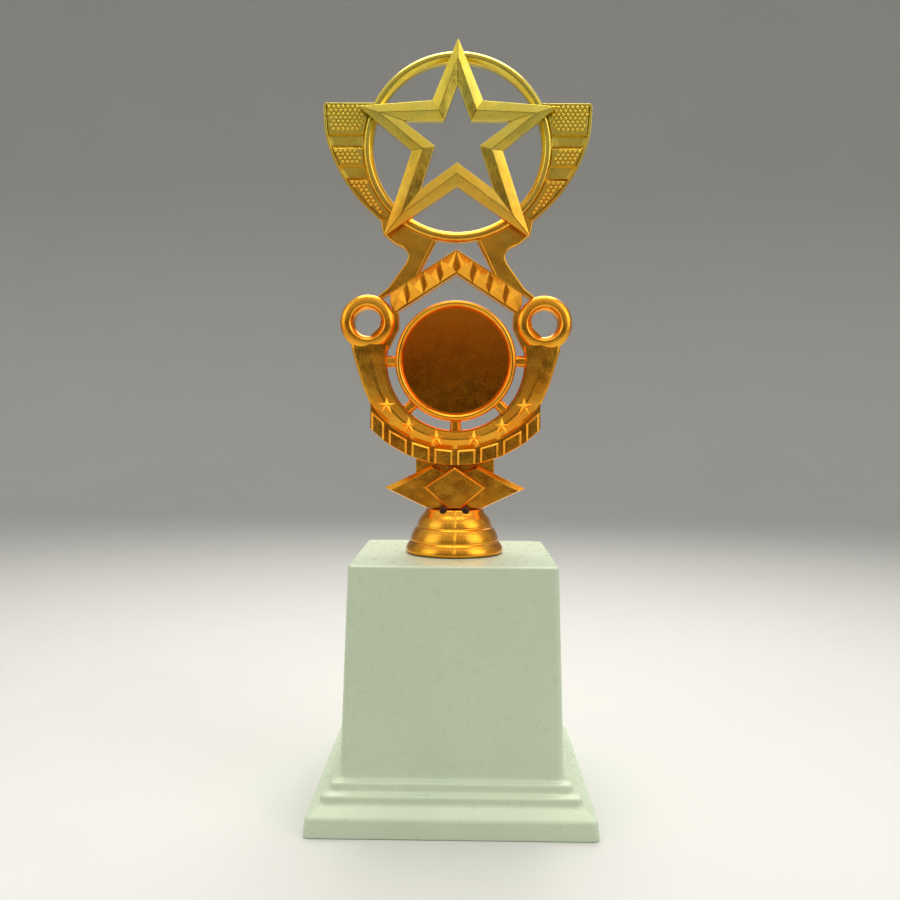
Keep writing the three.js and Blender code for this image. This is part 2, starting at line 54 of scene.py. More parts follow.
# ---------------------------------------------------------------- sizes
def box_mm(node):
    low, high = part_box(node)
    return low / MM, high / MM


def centre_mm(node):
    low, high = box_mm(node)
    return (low + high) / 2


PLINTH_TOP = box_mm("plinth_shell")[1].z
SKIRT_HALF = box_mm("plinth_shell")[1].x
FOOT_LOW, FOOT_HIGH = box_mm("foot")
CUP_Z = centre_mm("medallion_disc").z
DISC_R = box_mm("medallion_disc")[1].x
RING_LOW, RING_HIGH = box_mm("ring")
RING_Z = (RING_LOW.z + RING_HIGH.z) / 2
RING_R = RING_HIGH.x
STAR_LOW, STAR_HIGH = box_mm("star_emblem")
WING_LOW, WING_HIGH = box_mm("right_wing")
EYELET_R = 10.5
EYELET_X = box_mm("right_eyelet")[1].x - EYELET_R
EYELET_Z = box_mm("right_eyelet")[1].z - EYELET_R
STRIP_HALF = 32.4
STRIP_OUTER_R = 44.7
STRIP_INNER_R = 38.85
STRIP_CENTRE_Z = box_mm("tile_strip")[0].z + STRIP_OUTER_R
BAND_INNER_R = 26.25
CHEVRON_TOP = box_mm("chevron_bar")[1].z
CHEVRON_SLOPE = 0.6525
SIDES = ((-1, "left"), (1, "right"))


# ---------------------------------------------------------------- outline helpers
MOST_OF_AN_EDGE = 0.45  # the largest share of an edge that one rounded corner takes


def arc(cx, cz, radius, start, end, steps):
    """Points on an arc, angles in degrees from +X towards +Z."""
    angles = [math.radians(start + (end - start) * i / steps) for i in range(steps + 1)]
    return [(cx + radius * math.cos(a), cz + radius * math.sin(a)) for a in angles]


def mirrored(points):
    return [(-x, z) for x, z in reversed(points)]


def spline(points, steps):
    """A smooth line through the points, as a Catmull-Rom curve."""
    ends = [points[0]] + list(points) + [points[-1]]
    line = []
    for i in range(1, len(ends) - 2):
        a, b, c, d = (Vector(p) for p in ends[i - 1:i + 3])
        for k in range(steps):
            t = k / steps
            line.append(tuple(0.5 * (2 * b + (c - a) * t + (2 * a - 5 * b + 4 * c - d) * t * t
                                     + (3 * b - a - 3 * c + d) * t ** 3)))
    return line + [tuple(points[-1])]


def rounded(points, radius, steps=3, closed=True):
    """The outline with each corner cut to a small curve. An open line keeps its two ends."""
    result = []
    count = len(points)
    for i, point in enumerate(points):
        if not closed and i in (0, count - 1):
            result.append(tuple(point))
            continue
        here, before, after = Vector(point), Vector(points[i - 1]), Vector(points[(i + 1) % count])
        shorter = min((before - here).length * MOST_OF_AN_EDGE, (after - here).length * MOST_OF_AN_EDGE)
        reach = min(radius, shorter)
        start = here + (before - here).normalized() * reach
        end = here + (after - here).normalized() * reach
        for k in range(steps + 1):
            t = k / steps
            result.append(tuple(start * (1 - t) ** 2 + here * 2 * t * (1 - t) + end * t * t))
    return result


# ---------------------------------------------------------------- solid helpers: each gives a bmesh in mm
ON_AXIS = 1e-6  # a smaller radius is a point on the axis


def start_mesh():
    bm = bmesh.new()
    bm.faces.layers.float.new("edge")
    return bm


def loft(loops, ring=False):
    """Joins loops of (x, y, z) points that all have the same number of corners. A ring joins its ends too."""
    bm = start_mesh()
    rows = [[bm.verts.new(p) for p in loop] for loop in loops]
    pairs = list(zip(rows, rows[1:] + ([rows[0]] if ring else [])))
    for low, high in pairs:
        for i in range(len(low)):
            j = (i + 1) % len(low)
            bm.faces.new((low[i], low[j], high[j], high[i]))
    if not ring:
        bm.faces.new(list(reversed(rows[0])))
        bm.faces.new(rows[-1])
    bmesh.ops.recalc_face_normals(bm, faces=bm.faces)
    return bm


def layers(levels, ring=False):
    """Joins (outline, depth) levels in the order given."""
    return loft([[(x, depth, z) for x, z in outline] for outline, depth in levels], ring)


def round_edges(bm, width, segments=2, angle=25):
    """Bevels every edge sharper than the angle, and marks the new faces as edge faces."""
    sharp = [e for e in bm.edges if len(e.link_faces) == 2 and e.calc_face_angle(0) > math.radians(angle)]
    made = bmesh.ops.bevel(bm, geom=sharp, offset=width, offset_type="OFFSET", segments=segments,
                           profile=0.5, affect="EDGES", clamp_overlap=True)
    layer = bm.faces.layers.float["edge"]
    for face in made["faces"]:
        face[layer] = 1.0
    return bm


def plate(outline, front, back, edge, segments=3):
    """A flat piece between two depths, with softened edges."""
    return round_edges(layers([(outline, front), (outline, back)]), edge, segments)


def lathe(profile, segments, centre=(0, 0), standing=False):
    """Turns a (radius, along) profile about the Y axis through (x, z), or about Z when standing."""
    bm = start_mesh()
    rows = []
    for radius, along in profile:
        if radius < ON_AXIS:
            point = (0, 0, along) if standing else (centre[0], along, centre[1])
            rows.append([bm.verts.new(point)] * segments)
            continue
        row = []
        for i in range(segments):
            a = 2 * math.pi * i / segments
            u, v = radius * math.cos(a), radius * math.sin(a)
            row.append(bm.verts.new((u, v, along) if standing else (centre[0] + u, along, centre[1] + v)))
        rows.append(row)
    open_profile = profile[0][0] < ON_AXIS and profile[-1][0] < ON_AXIS
    for low, high in zip(rows, rows[1:] + ([] if open_profile else [rows[0]])):
        for i in range(segments):
            j = (i + 1) % segments
            unique = list(dict.fromkeys([low[i], low[j], high[j], high[i]]))
            if len(unique) > 2:
                bm.faces.new(unique)
    bmesh.ops.recalc_face_normals(bm, faces=bm.faces)
    return bm


def moved(bm, offset, turn=None):
    if turn:
        bmesh.ops.transform(bm, matrix=turn, verts=bm.verts)
    bmesh.ops.translate(bm, vec=offset, verts=bm.verts)
    return bm


def mirror_x(bm):
    bmesh.ops.scale(bm, vec=(-1, 1, 1), verts=bm.verts)
    bmesh.ops.reverse_faces(bm, faces=bm.faces)
    return bm


def on_side(side, parts):
    """Parts that were made for the right side, mirrored when the side is the left one."""
    return [mirror_x(bm) if side < 0 else bm for bm in parts]


def dome(x, y, z, radius, height, sides=8):
    """A small closed bump that stands out of a face towards -Y."""
    levels = [(1.0, 0.3), (1.0, 0.0), (0.88, -0.45 * height), (0.55, -0.85 * height), (0.15, -height)]
    turns = [2 * math.pi * i / sides for i in range(sides)]
    loops = []
    for share, depth in levels:
        r = radius * share
        loops.append([(x + r * math.cos(a), y + depth, z + r * math.sin(a)) for a in turns])
    return loft(loops)


def placed(name, data):
    """A new object in the scene that holds the data."""
    obj = bpy.data.objects.new(name, data)
    bpy.context.scene.collection.objects.link(obj)
    return obj


def with_modifiers(obj):
    """A new mesh of the object with its modifiers applied."""
    bpy.context.view_layer.update()
    depsgraph = bpy.context.evaluated_depsgraph_get()
    return bpy.data.meshes.new_from_object(obj.evaluated_get(depsgraph))


def carved(body, *cutters):
    """The body with the cutters' shapes taken out of it."""
    made = []
    for bm in (body, *cutters):
        mesh = bpy.data.meshes.new("blank")
        bm.to_mesh(mesh)
        bm.free()
        made.append(placed("blank", mesh))
    for cutter in made[1:]:
        step = made[0].modifiers.new("cut", "BOOLEAN")
        step.operation = "DIFFERENCE"
        step.solver = "EXACT"
        step.object = cutter
    result = bmesh.new()
    result.from_mesh(with_modifiers(made[0]))
    for obj in made:
        bpy.data.objects.remove(obj)
    return result


# ---------------------------------------------------------------- pieces
def piece(name, parts, material, slot, body, *nodes, sharp=32):
    """Joins the parts into one object that stands for the CAD nodes."""
    joined = start_mesh()
    for part in parts:
        scratch = bpy.data.meshes.new("scratch")
        part.to_mesh(scratch)
        part.free()
        joined.from_mesh(scratch)
        bpy.data.meshes.remove(scratch)
    bmesh.ops.scale(joined, vec=(MM, MM, MM), verts=joined.verts)
    mesh = bpy.data.meshes.new(name)
    joined.to_mesh(mesh)
    joined.free()
    mesh.polygons.foreach_set("use_smooth", [True] * len(mesh.polygons))
    mesh.set_sharp_from_angle(angle=math.radians(sharp))
    obj = placed(name, mesh)
    weighted = obj.modifiers.new("normals", "WEIGHTED_NORMAL")
    weighted.keep_sharp = True
    weighted.weight = 60
    finished = with_modifiers(obj)
    obj.modifiers.clear()
    obj.data = finished
    finished.materials.clear()
    finished.materials.append(material)
    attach(obj, body)
    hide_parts(*nodes)
    return obj


# ---------------------------------------------------------------- materials
MIX_COLOR_A, MIX_COLOR_B, MIX_COLOR_OUT = 6, 7, 2  # sockets of a Mix node that mixes colours
GOLD_TURNS_GREEN_Z = (0.188, 0.262)  # metres: orange gold below, greener gold above


class Nodes:
    """Short calls for building one node tree."""

    def __init__(self, name):
        self.material = bpy.data.materials.new(name)
        self.material.use_nodes = True
        self.tree = self.material.node_tree
        self.shader = self.tree.nodes["Principled BSDF"]
        self.place = self.tree.nodes.new("ShaderNodeTexCoord").outputs["Object"]

    def node(self, kind, **values):
        made = self.tree.nodes.new(kind)
        for key, value in values.items():
            setattr(made, key, value)
        return made

    def link(self, source, target):
        self.tree.links.new(source, target)

    def feed(self, socket, value):
        if isinstance(value, bpy.types.NodeSocket):
            self.link(value, socket)
        else:
            socket.default_value = value

    def stretched(self, scale, turn):
        mapping = self.node("ShaderNodeMapping")
        self.link(self.place, mapping.inputs["Vector"])
        mapping.inputs["Scale"].default_value = scale
        mapping.inputs["Rotation"].default_value = turn
        return mapping.outputs["Vector"]

    def noise(self, scale, detail=3.0, rough=0.5, place=None, warp=0.0):
        made = self.node("ShaderNodeTexNoise")
        self.link(place or self.place, made.inputs["Vector"])
        made.inputs["Scale"].default_value = scale
        made.inputs["Detail"].default_value = detail
        made.inputs["Roughness"].default_value = rough
        made.inputs["Distortion"].default_value = warp
        return made.outputs["Fac"]

    def cells(self, scale, output="Distance"):
        made = self.node("ShaderNodeTexVoronoi", feature="F1")
        self.link(self.place, made.inputs["Vector"])
        made.inputs["Scale"].default_value = scale
        return made.outputs[output]

    def spread(self, value, low, high, to_low=0.0, to_high=1.0):
        """The value's range from low to high, spread smoothly over another range."""
        made = self.node("ShaderNodeMapRange", interpolation_type="SMOOTHSTEP")
        self.feed(made.inputs["Value"], value)
        for key, number in (("From Min", low), ("From Max", high), ("To Min", to_low), ("To Max", to_high)):
            made.inputs[key].default_value = number
        return made.outputs["Result"]

    def math(self, operation, a, b=0.0):
        made = self.node("ShaderNodeMath", operation=operation)
        self.feed(made.inputs[0], a)
        self.feed(made.inputs[1], b)
        return made.outputs[0]

    def mix(self, share, a, b):
        made = self.node("ShaderNodeMix", data_type="RGBA")
        self.feed(made.inputs["Factor"], share)
        self.feed(made.inputs[MIX_COLOR_A], a)
        self.feed(made.inputs[MIX_COLOR_B], b)
        return made.outputs[MIX_COLOR_OUT]

    def height(self):
        split = self.node("ShaderNodeSeparateXYZ")
        self.link(self.place, split.inputs[0])
        return split.outputs["Z"]

    def attribute(self, name):
        made = self.node("ShaderNodeAttribute", attribute_name=name)
        return made.outputs["Fac"]

    def bump(self, value, distance, strength=1.0, after=None):
        made = self.node("ShaderNodeBump")
        made.inputs["Strength"].default_value = strength
        made.inputs["Distance"].default_value = distance
        self.link(value, made.inputs["Height"])
        if after:
            self.link(after, made.inputs["Normal"])
        return made.outputs["Normal"]

    def finish(self, color, roughness, normal=None, metallic=0.0, **sockets):
        self.feed(self.shader.inputs["Base Color"], color)
        self.feed(self.shader.inputs["Roughness"], roughness)
        self.feed(self.shader.inputs["Metallic"], metallic)
        if normal:
            self.link(normal, self.shader.inputs["Normal"])
        for key, value in sockets.items():
            self.shader.inputs[key.replace("_", " ")].default_value = value
        return self.material


def scratches(m, scale, turn):
    """Thin straight scratches: 1 on a line and 0 beside it."""
    finer_across, line_width = 14, 0.006
    lines = m.noise(1.0, 1.0, 0.4, m.stretched((scale * finer_across, scale, scale), (0, turn, 0)))
    return m.spread(m.math("ABSOLUTE", m.math("SUBTRACT", lines, 0.5)), 0.0, line_width, 1.0, 0.0)


def gold(name, orange, amber, cloud_scale, tarnish_most, rough, ripple_scale, ripple_depth, grain_depth):
    """Metallised plastic: orange gold low down, greener gold high up, with dark chips on its worn edges."""
    yellow, olive = (0.78, 0.58, 0.07, 1), (0.70, 0.58, 0.10, 1)
    brown, bare = (0.4, 0.17, 0.03, 1), (0.03, 0.018, 0.008, 1)
    m = Nodes(name)
    rise = m.spread(m.height(), *GOLD_TURNS_GREEN_Z)
    cloud = m.spread(m.noise(cloud_scale, 4.0, 0.55), 0.33, 0.7)
    low = m.mix(cloud, orange, amber)
    high = m.mix(cloud, yellow, olive)
    color = m.mix(rise, low, high)
    tarnish = m.spread(m.noise(420, 5.0, 0.6), 0.6, 0.76, 0.0, tarnish_most)
    color = m.mix(tarnish, color, brown)
    chip = m.math("MULTIPLY", m.attribute("edge"), m.spread(m.noise(520, 3.0, 0.6), 0.665, 0.685))
    color = m.mix(chip, color, bare)
    marks = m.math("MAXIMUM", scratches(m, 260, 0.6), scratches(m, 190, -0.9))
    roughness = m.spread(m.noise(230, 4.0, 0.6), 0.3, 0.75, *rough)
    roughness = m.math("ADD", roughness, m.math("MULTIPLY", marks, 0.14))
    roughness = m.math("ADD", roughness, m.math("MULTIPLY", chip, 0.35))
    ripple = m.bump(m.noise(ripple_scale, 2.0, 0.5), ripple_depth)
    grain = m.bump(m.noise(1500, 3.0, 0.6), grain_depth, 1.0, ripple)
    normal = m.bump(m.math("MAXIMUM", marks, chip), 0.00001, 0.6, grain)
    metallic = m.math("SUBTRACT", 1.0, m.math("MULTIPLY", chip, 0.9))
    return m.finish(color, roughness, normal, metallic)


def ivory(name):
    """Pale greenish plastic with a satin gloss, small dark specks and faint stains."""
    shade, light = (0.535, 0.62, 0.455, 1), (0.565, 0.645, 0.475, 1)
    stained, dirt = (0.47, 0.47, 0.32, 1), (0.3, 0.28, 0.2, 1)
    m = Nodes(name)
    cloud = m.spread(m.noise(22, 5.0, 0.6, warp=0.4), 0.35, 0.7)
    color = m.mix(cloud, shade, light)
    stain = m.spread(m.noise(26, 3.0, 0.5, warp=0.4), 0.6, 0.8, 0.0, 0.08)
    color = m.mix(stain, color, stained)
    points = m.spread(m.cells(90), 0.02, 0.035, 1.0, 0.0)
    speck = m.math("MULTIPLY", points, m.spread(m.noise(35), 0.66, 0.68))
    color = m.mix(speck, color, dirt)
    roughness = m.spread(m.noise(300, 4.0, 0.6), 0.3, 0.7, 0.26, 0.38)
    roughness = m.math("ADD", roughness, m.math("MULTIPLY", scratches(m, 150, 0.4), 0.02))
    wave = m.bump(m.noise(18, 1.0, 0.5), 0.00012)
    normal = m.bump(m.noise(2200, 2.0, 0.5), 0.000006, 1.0, wave)
    return m.finish(color, roughness, normal, 0.0, Specular_IOR_Level=0.45)


def dark_enamel(name):
    m = Nodes(name)
    color = m.mix(m.noise(700, 3.0), (0.014, 0.006, 0.005, 1), (0.035, 0.014, 0.008, 1))
    roughness = m.spread(m.noise(900), 0.3, 0.7, 0.12, 0.22)
    normal = m.bump(m.noise(500), 0.00002)
    return m.finish(color, roughness, normal, 0.0, Specular_IOR_Level=0.3, Specular_Tint=(1.0, 0.6, 0.45, 1))


def zinc(name):
    spangle_share = 0.12
    m = Nodes(name)
    spangle = m.cells(320, "Color")
    color = m.mix(m.noise(240, 4.0), (0.52, 0.54, 0.55, 1), (0.66, 0.66, 0.64, 1))
    color = m.mix(spangle_share, color, spangle)
    roughness = m.spread(m.noise(500, 4.0), 0.3, 0.7, 0.25, 0.45)
    return m.finish(color, roughness, m.bump(m.noise(900, 3.0), 0.00003), 1.0)


def cement(name):
    m = Nodes(name)
    grit = m.noise(900, 6.0, 0.7)
    color = m.mix(m.noise(60, 5.0, 0.65), (0.34, 0.33, 0.3, 1), (0.5, 0.49, 0.45, 1))
    pits = m.spread(m.cells(420), 0.1, 0.3)
    normal = m.bump(grit, 0.0003, 1.0, m.bump(pits, 0.0004))
    return m.finish(color, m.spread(grit, 0.3, 0.7, 0.8, 0.95), normal)


def black_cover(name):
    m = Nodes(name)
    color = m.mix(m.noise(80, 4.0), (0.012, 0.012, 0.013, 1), (0.03, 0.03, 0.03, 1))
    leather = m.bump(m.cells(1400), 0.00012)
    return m.finish(color, m.spread(m.noise(400, 4.0), 0.3, 0.7, 0.42, 0.6), leather)


def felt(name):
    m = Nodes(name)
    fibre = m.noise(2600, 6.0, 0.75, m.stretched((1.0, 2.4, 1.0), (0.3, 0.5, 0.8)), 1.5)
    color = m.mix(fibre, (0.012, 0.06, 0.035, 1), (0.05, 0.15, 0.09, 1))
    normal = m.bump(fibre, 0.0003)
    return m.finish(color, m.spread(fibre, 0.2, 0.8, 0.85, 1.0), normal, 0.0, Sheen_Weight=0.4)


GOLD = gold("gold_plating", orange=(0.93, 0.34, 0.022, 1), amber=(0.88, 0.42, 0.036, 1), cloud_scale=95,
            tarnish_most=0.3, rough=(0.17, 0.29), ripple_scale=75, ripple_depth=0.0004, grain_depth=0.00002)
FOIL = gold("gold_foil", orange=(1.0, 0.2, 0.008, 1), amber=(0.9, 0.33, 0.02, 1), cloud_scale=16,
            tarnish_most=0.1, rough=(0.11, 0.19), ripple_scale=14, ripple_depth=0.0012, grain_depth=0.000008)
IVORY = ivory("ivory_plastic")
ENAMEL = dark_enamel("pin_enamel")
ZINC = zinc("zinc_steel")
CEMENT = cement("cement")
COVER = black_cover("cover_plastic")
FELT = felt("felt")


# ---------------------------------------------------------------- plinth
PLINTH_CEILING_Z = 87.2
PLINTH_CORNER_R, HOLLOW_CORNER_R = 2.4, 2.0
ROD_HOLE_R = 3.4
POST_FOOT_Z, POST_TOP_Z = 4.2, 12.4
POST_HOLE_R, POST_FOOT_R, POST_TOP_R = 1.5, 3.2, 3.4
THREAD_TURNS, THREAD_PITCH = 8, 0.85
FELT_SHRINK, FELT_LUMP = 0.012, 0.12


def square_loop(z, half, radius, steps=6):
    """Square with rounded corners at one height."""
    inner = half - radius
    corners = [(1, 1, 0), (-1, 1, 90), (-1, -1, 180), (1, -1, 270)]
    return [(x, y, z) for sx, sy, start in corners
            for x, y in arc(sx * inner, sy * inner, radius, start, start + 90, steps)]


def plinth_shell():
    """Tapered block on two soft steps and an ogee skirt, hollow from below, with a hole for the rod."""
    section = rounded([
        (48.6, 0), (SKIRT_HALF, 0), (49.45, 6.4), (46.9, 8.4), (44.9, 9.9), (44.8, 12.4),
        (42.2, 13.1), (41.75, 15.9), (39.3, 16.5), (38.85, 18.6), (36.75, PLINTH_TOP), (33.0, PLINTH_TOP),
    ], 0.9, 4, closed=False)
    outside = [square_loop(z, half, PLINTH_CORNER_R) for half, z in section]
    count = len(outside[0])
    turns = [math.radians(360 * (i + 0.5) / count) for i in range(count)]
    hole = [[(ROD_HOLE_R * math.cos(a), ROD_HOLE_R * math.sin(a), z) for a in turns]
            for z in (PLINTH_TOP, PLINTH_CEILING_Z)]
    inside = [square_loop(z, half, HOLLOW_CORNER_R) for half, z in
              ((34.4, PLINTH_CEILING_Z), (36.4, 16.7), (39.2, 13), (42.2, 9), (46.7, 6), (47.2, 0))]
    return loft(outside + hole + inside, ring=True)


def screw_post(x, y):
    """Tube inside the plinth that a cover screw bites into."""
    profile = [(POST_HOLE_R, POST_FOOT_Z), (POST_FOOT_R, POST_FOOT_Z), (POST_TOP_R, POST_TOP_Z),
               (POST_HOLE_R, POST_TOP_Z)]
    return moved(lathe(rounded(profile, 0.3), 32, standing=True), (x, y, 0))


def cover_screw(node):
    """Pan head with a cross recess on a ridged shank, its head down."""
    low, high = box_mm(node)
    middle = (low + high) / 2
    neck = high.z - 8.4
    head = [(0, low.z), (1.5, low.z), (2.3, low.z + 0.25), (2.6, low.z + 0.75), (2.6, neck), (1.2, neck)]
    ridges = []
    for i in range(THREAD_TURNS):
        z = high.z - 8.0 + i * THREAD_PITCH
        ridges += [(0.95, z), (1.2, z + 0.3), (1.2, z + 0.42)]
    profile = rounded(head, 0.12, 2, closed=False) + ridges + [(0.6, high.z - 0.8), (0, high.z)]
    arms = [loft([[(-a, -b, z), (a, -b, z), (a, b, z), (-a, b, z)] for z in (low.z - 0.5, low.z + 0.7)])
            for a, b in ((1.45, 0.28), (0.28, 1.45))]
    return moved(carved(lathe(profile, 40, standing=True), *arms), (middle.x, middle.y, 0))


def felt_pad(node):
    """Disc of felt whose edge and face are a little uneven."""
    low, high = box_mm(node)
    middle = (low + high) / 2
    radius = (high.x - low.x) / 2
    profile = [(0, low.z)] + [(radius * share, low.z) for share in (0.3, 0.6, 0.85)]
    profile += [(radius - 0.25, low.z + 0.06), (radius, low.z + 0.35), (radius - 0.05, high.z - 0.15),
                (radius - 0.2, high.z), (0, high.z)]
    bm = lathe(profile, 72, standing=True)
    for vert in bm.verts:
        push = noise.noise(vert.co * 0.9 + middle)
        vert.co *= 1 - FELT_SHRINK * abs(push)
        vert.co.z = max(vert.co.z + FELT_LUMP * abs(push), low.z)
    return moved(bm, (middle.x, middle.y, 0))


def build_plinth():
    reach = centre_mm("cover_screw_1").x
    corners = [(1, 1), (-1, 1), (-1, -1), (1, -1)]
    posts = [screw_post(sx * reach, sy * reach) for sx, sy in corners]
    piece("plinth_body", [plinth_shell()] + posts, IVORY, "ivory_plastic", "plinth", "plinth_shell", sharp=50)
    for i in range(1, 5):
        screw, pad = f"cover_screw_{i}", f"felt_pad_{i}"
        piece(f"base_screw_{i}", [cover_screw(screw)], ZINC, "zinc_steel", "plinth", screw)
        piece(f"soft_pad_{i}", [felt_pad(pad)], FELT, "felt", "plinth", pad, sharp=60)


# ---------------------------------------------------------------- foot, pins and diamonds
FOOT_BORE_R, FOOT_BORE_TOP = 6.4, 97
FOOT_SEAM_WIDTH, FOOT_SEAM_HEIGHT, FOOT_SEAM_INNER_R = 0.55, 0.3, 10.8
SIDE_DIAMOND_X, SIDE_DIAMOND_Z, SIDE_DIAMOND_INNER_X = 8.7, 114.7, 0.2
CENTRE_DIAMOND_Z, CENTRE_DIAMOND_FOOT_HALF = 115.1, 2.2
SPINE_SHOULDER_X, SPINE_TONGUE_X, SPINE_WAIST_Z = 8.6, 8, 116.5


def foot():
    """Round foot: a flat-topped collar, two soft beads, a flared rim, and a raised mould seam in front."""
    low, high = FOOT_LOW.z, FOOT_HIGH.z
    outer = rounded([
        (FOOT_BORE_R, low), (18.2, low), (18.6, low + 0.6), (18.55, low + 1.5), (18.2, low + 2.6),
        (17.3, low + 4.0), (16.65, low + 4.4), (16.75, low + 5.0), (16.5, low + 6.4), (15.85, low + 8.0),
        (14.9, low + 9.5), (14.15, low + 9.85), (14.2, low + 10.5), (13.8, low + 12.0), (13.0, low + 13.4),
        (12.1, low + 14.45), (11.75, low + 14.9), (10.7, high), (0, high),
    ], 0.4, 3, closed=False)
    bm = lathe(outer + [(0, FOOT_BORE_TOP), (FOOT_BORE_R, FOOT_BORE_TOP)], 240, standing=True)
    for vert in bm.verts:
        radius = math.hypot(vert.co.x, vert.co.y)
        if vert.co.y < 0 and radius > FOOT_SEAM_INNER_R:
            push = 1 + FOOT_SEAM_HEIGHT / radius * math.exp(-(vert.co.x / FOOT_SEAM_WIDTH) ** 2)
            vert.co.x *= push
            vert.co.y *= push
    return bm


def half_diamond():
    """Right half-diamond: its raised face stops well short of the tip, and the flanks taper to nothing."""
    low, high = box_mm("right_diamond")
    middle_x, mid_z, inner_x = SIDE_DIAMOND_X, SIDE_DIAMOND_Z, SIDE_DIAMOND_INNER_X
    slope = (high.z - mid_z) / (high.x - middle_x)
    inner_reach = high.z - mid_z - (middle_x - inner_x) * slope
    foot_reach = (high.x - middle_x) - (mid_z - low.z) / slope
    base = [(inner_x, mid_z + inner_reach), (inner_x, mid_z - inner_reach),
            (middle_x - foot_reach, low.z), (middle_x + foot_reach, low.z),
            (high.x - 0.5, mid_z - 0.5 * slope), (high.x, mid_z), (middle_x, high.z)]
    face = [(inner_x, mid_z + inner_reach - 0.4), (inner_x, mid_z - inner_reach + 0.3),
            (middle_x - foot_reach, low.z + 0.2), (middle_x + foot_reach - 0.5, low.z + 0.3),
            (high.x - 2.4, mid_z - 0.7), (high.x - 6.2, mid_z + 0.9), (middle_x - 0.4, high.z - 0.9)]
    return round_edges(layers([(face, low.y), (base, low.y + 1.9), (base, high.y)]), 0.16)


def centre_diamond():
    """Diamond with a narrow bevel and a flat foot."""
    low, high = box_mm("centre_diamond")
    mid_z, foot_half = CENTRE_DIAMOND_Z, CENTRE_DIAMOND_FOOT_HALF
    base = [(low.x, mid_z), (-foot_half, low.z), (foot_half, low.z), (high.x, mid_z), (0, high.z)]
    side, above, below = 1 - 1.0 / high.x, 1 - 0.8 / (high.z - mid_z), 1 - 0.35 / (mid_z - low.z)
    face = [(x * side, mid_z + (z - mid_z) * (above if z > mid_z else below)) for x, z in base]
    return round_edges(layers([(face, low.y), (base, low.y + 0.75), (base, high.y)]), 0.12)


def spine():
    """Plate behind the diamonds: its top follows the tile strip, and a tongue stands in the foot."""
    low, high = box_mm("spine_plate")
    top_r = STRIP_OUTER_R + 0.1
    edge = math.degrees(math.asin(high.x / top_r))
    shoulder_z = FOOT_HIGH.z + 0.2
    outline = arc(0, STRIP_CENTRE_Z, top_r, -90 - edge, -90 + edge, 16) + [
        (high.x, SPINE_WAIST_Z), (SPINE_SHOULDER_X, shoulder_z), (SPINE_TONGUE_X, shoulder_z),
        (SPINE_TONGUE_X, low.z), (-SPINE_TONGUE_X, low.z), (-SPINE_TONGUE_X, shoulder_z),
        (-SPINE_SHOULDER_X, shoulder_z), (low.x, SPINE_WAIST_Z)]
    return plate(outline, low.y, high.y, 0.3)


def pin(node):
    """Round glossy head half sunk in the foot, on a thin shaft."""
    low, high = box_mm(node)
    middle = (low + high) / 2
    radius = (high.x - low.x) / 2
    ball_z = high.z - radius
    ball = [(radius * math.cos(math.radians(a)), ball_z + radius * math.sin(math.radians(a)))
            for a in range(-56, 90, 8)]
    profile = [(0, low.z), (0.9, low.z), (0.9, ball[0][1])] + ball + [(0, high.z)]
    return moved(lathe(profile, 40, standing=True), (middle.x, middle.y, 0))


def build_base():
    piece("round_foot", [foot()], GOLD, "gold_plating", "figure", "foot")
    piece("spine", [spine()], GOLD, "gold_plating", "figure", "spine_plate")
    piece("diamond_right", [half_diamond()], GOLD, "gold_plating", "figure", "right_diamond")
    piece("diamond_left", [mirror_x(half_diamond())], GOLD, "gold_plating", "figure", "left_diamond")
    piece("diamond_centre", [centre_diamond()], GOLD, "gold_plating", "figure", "centre_diamond")
    piece("pin_head_right", [pin("right_pin")], ENAMEL, "pin_enamel", "figure", "right_pin")
    piece("pin_head_left", [pin("left_pin")], ENAMEL, "pin_enamel", "figure", "left_pin")


# ---------------------------------------------------------------- cup, disc and spokes
CUP_R = 22.9
RECESS_R, RECESS_FLOOR_Y = 20.1, -4.1
ROUND_STEPS = 144
SPOKE_START_R, SPOKE_IN_BAND = 21.5, 0.6
SPOKE_ANGLES = (0, 180, 225, 270, 315)


def cup():
    """Shallow round cup with a rolled rim."""
    low, high = box_mm("medallion_cup")
    front = low.y
    profile = rounded([
        (0, high.y), (CUP_R - 0.8, high.y), (CUP_R, high.y - 0.8), (CUP_R, front + 1.6),
        (CUP_R - 0.4, front + 0.5), (CUP_R - 1.2, front), (CUP_R - 1.8, front + 0.1),
        (CUP_R - 2.45, front + 0.8), (CUP_R - 2.6, front + 1.2), (RECESS_R + 0.1, front + 1.45),
        (RECESS_R, RECESS_FLOOR_Y), (0, RECESS_FLOOR_Y),
    ], 0.5, 3, closed=False)
    return lathe(profile, ROUND_STEPS, (0, CUP_Z))


def disc():
    """Thin plate with a small bevel, which fills the recess."""
    low, high = box_mm("medallion_disc")
    radius = DISC_R + 0.2
    outline = [(0, high.y), (radius, high.y), (radius, low.y + 0.12), (radius - 0.25, low.y), (0, low.y)]
    return lathe(rounded(outline, 0.15, 3, closed=False), ROUND_STEPS, (0, CUP_Z))


def spoke(angle):
    """Short bar from cup to band, with its face bevelled above and below."""
    section = [(-1.9, 2.2), (-1.9, -2.2), (-1.1, -3.0), (1.0, -3.2), (2.25, -2.0), (2.25, 2.2)]
    ends = (SPOKE_START_R, BAND_INNER_R + SPOKE_IN_BAND)
    bar = round_edges(loft([[(x, y, z) for z, y in section] for x in ends]), 0.2)
    return moved(bar, (0, 0, CUP_Z), Matrix.Rotation(math.radians(-angle), 4, "Y"))


def build_medallion():
    spokes = [spoke(angle) for angle in SPOKE_ANGLES]
    piece("medallion_holder", [cup()] + spokes, GOLD, "gold_plating", "figure", "medallion_cup")
    piece("medallion_plate", [disc()], FOIL, "gold_foil", "figure", "medallion_disc")


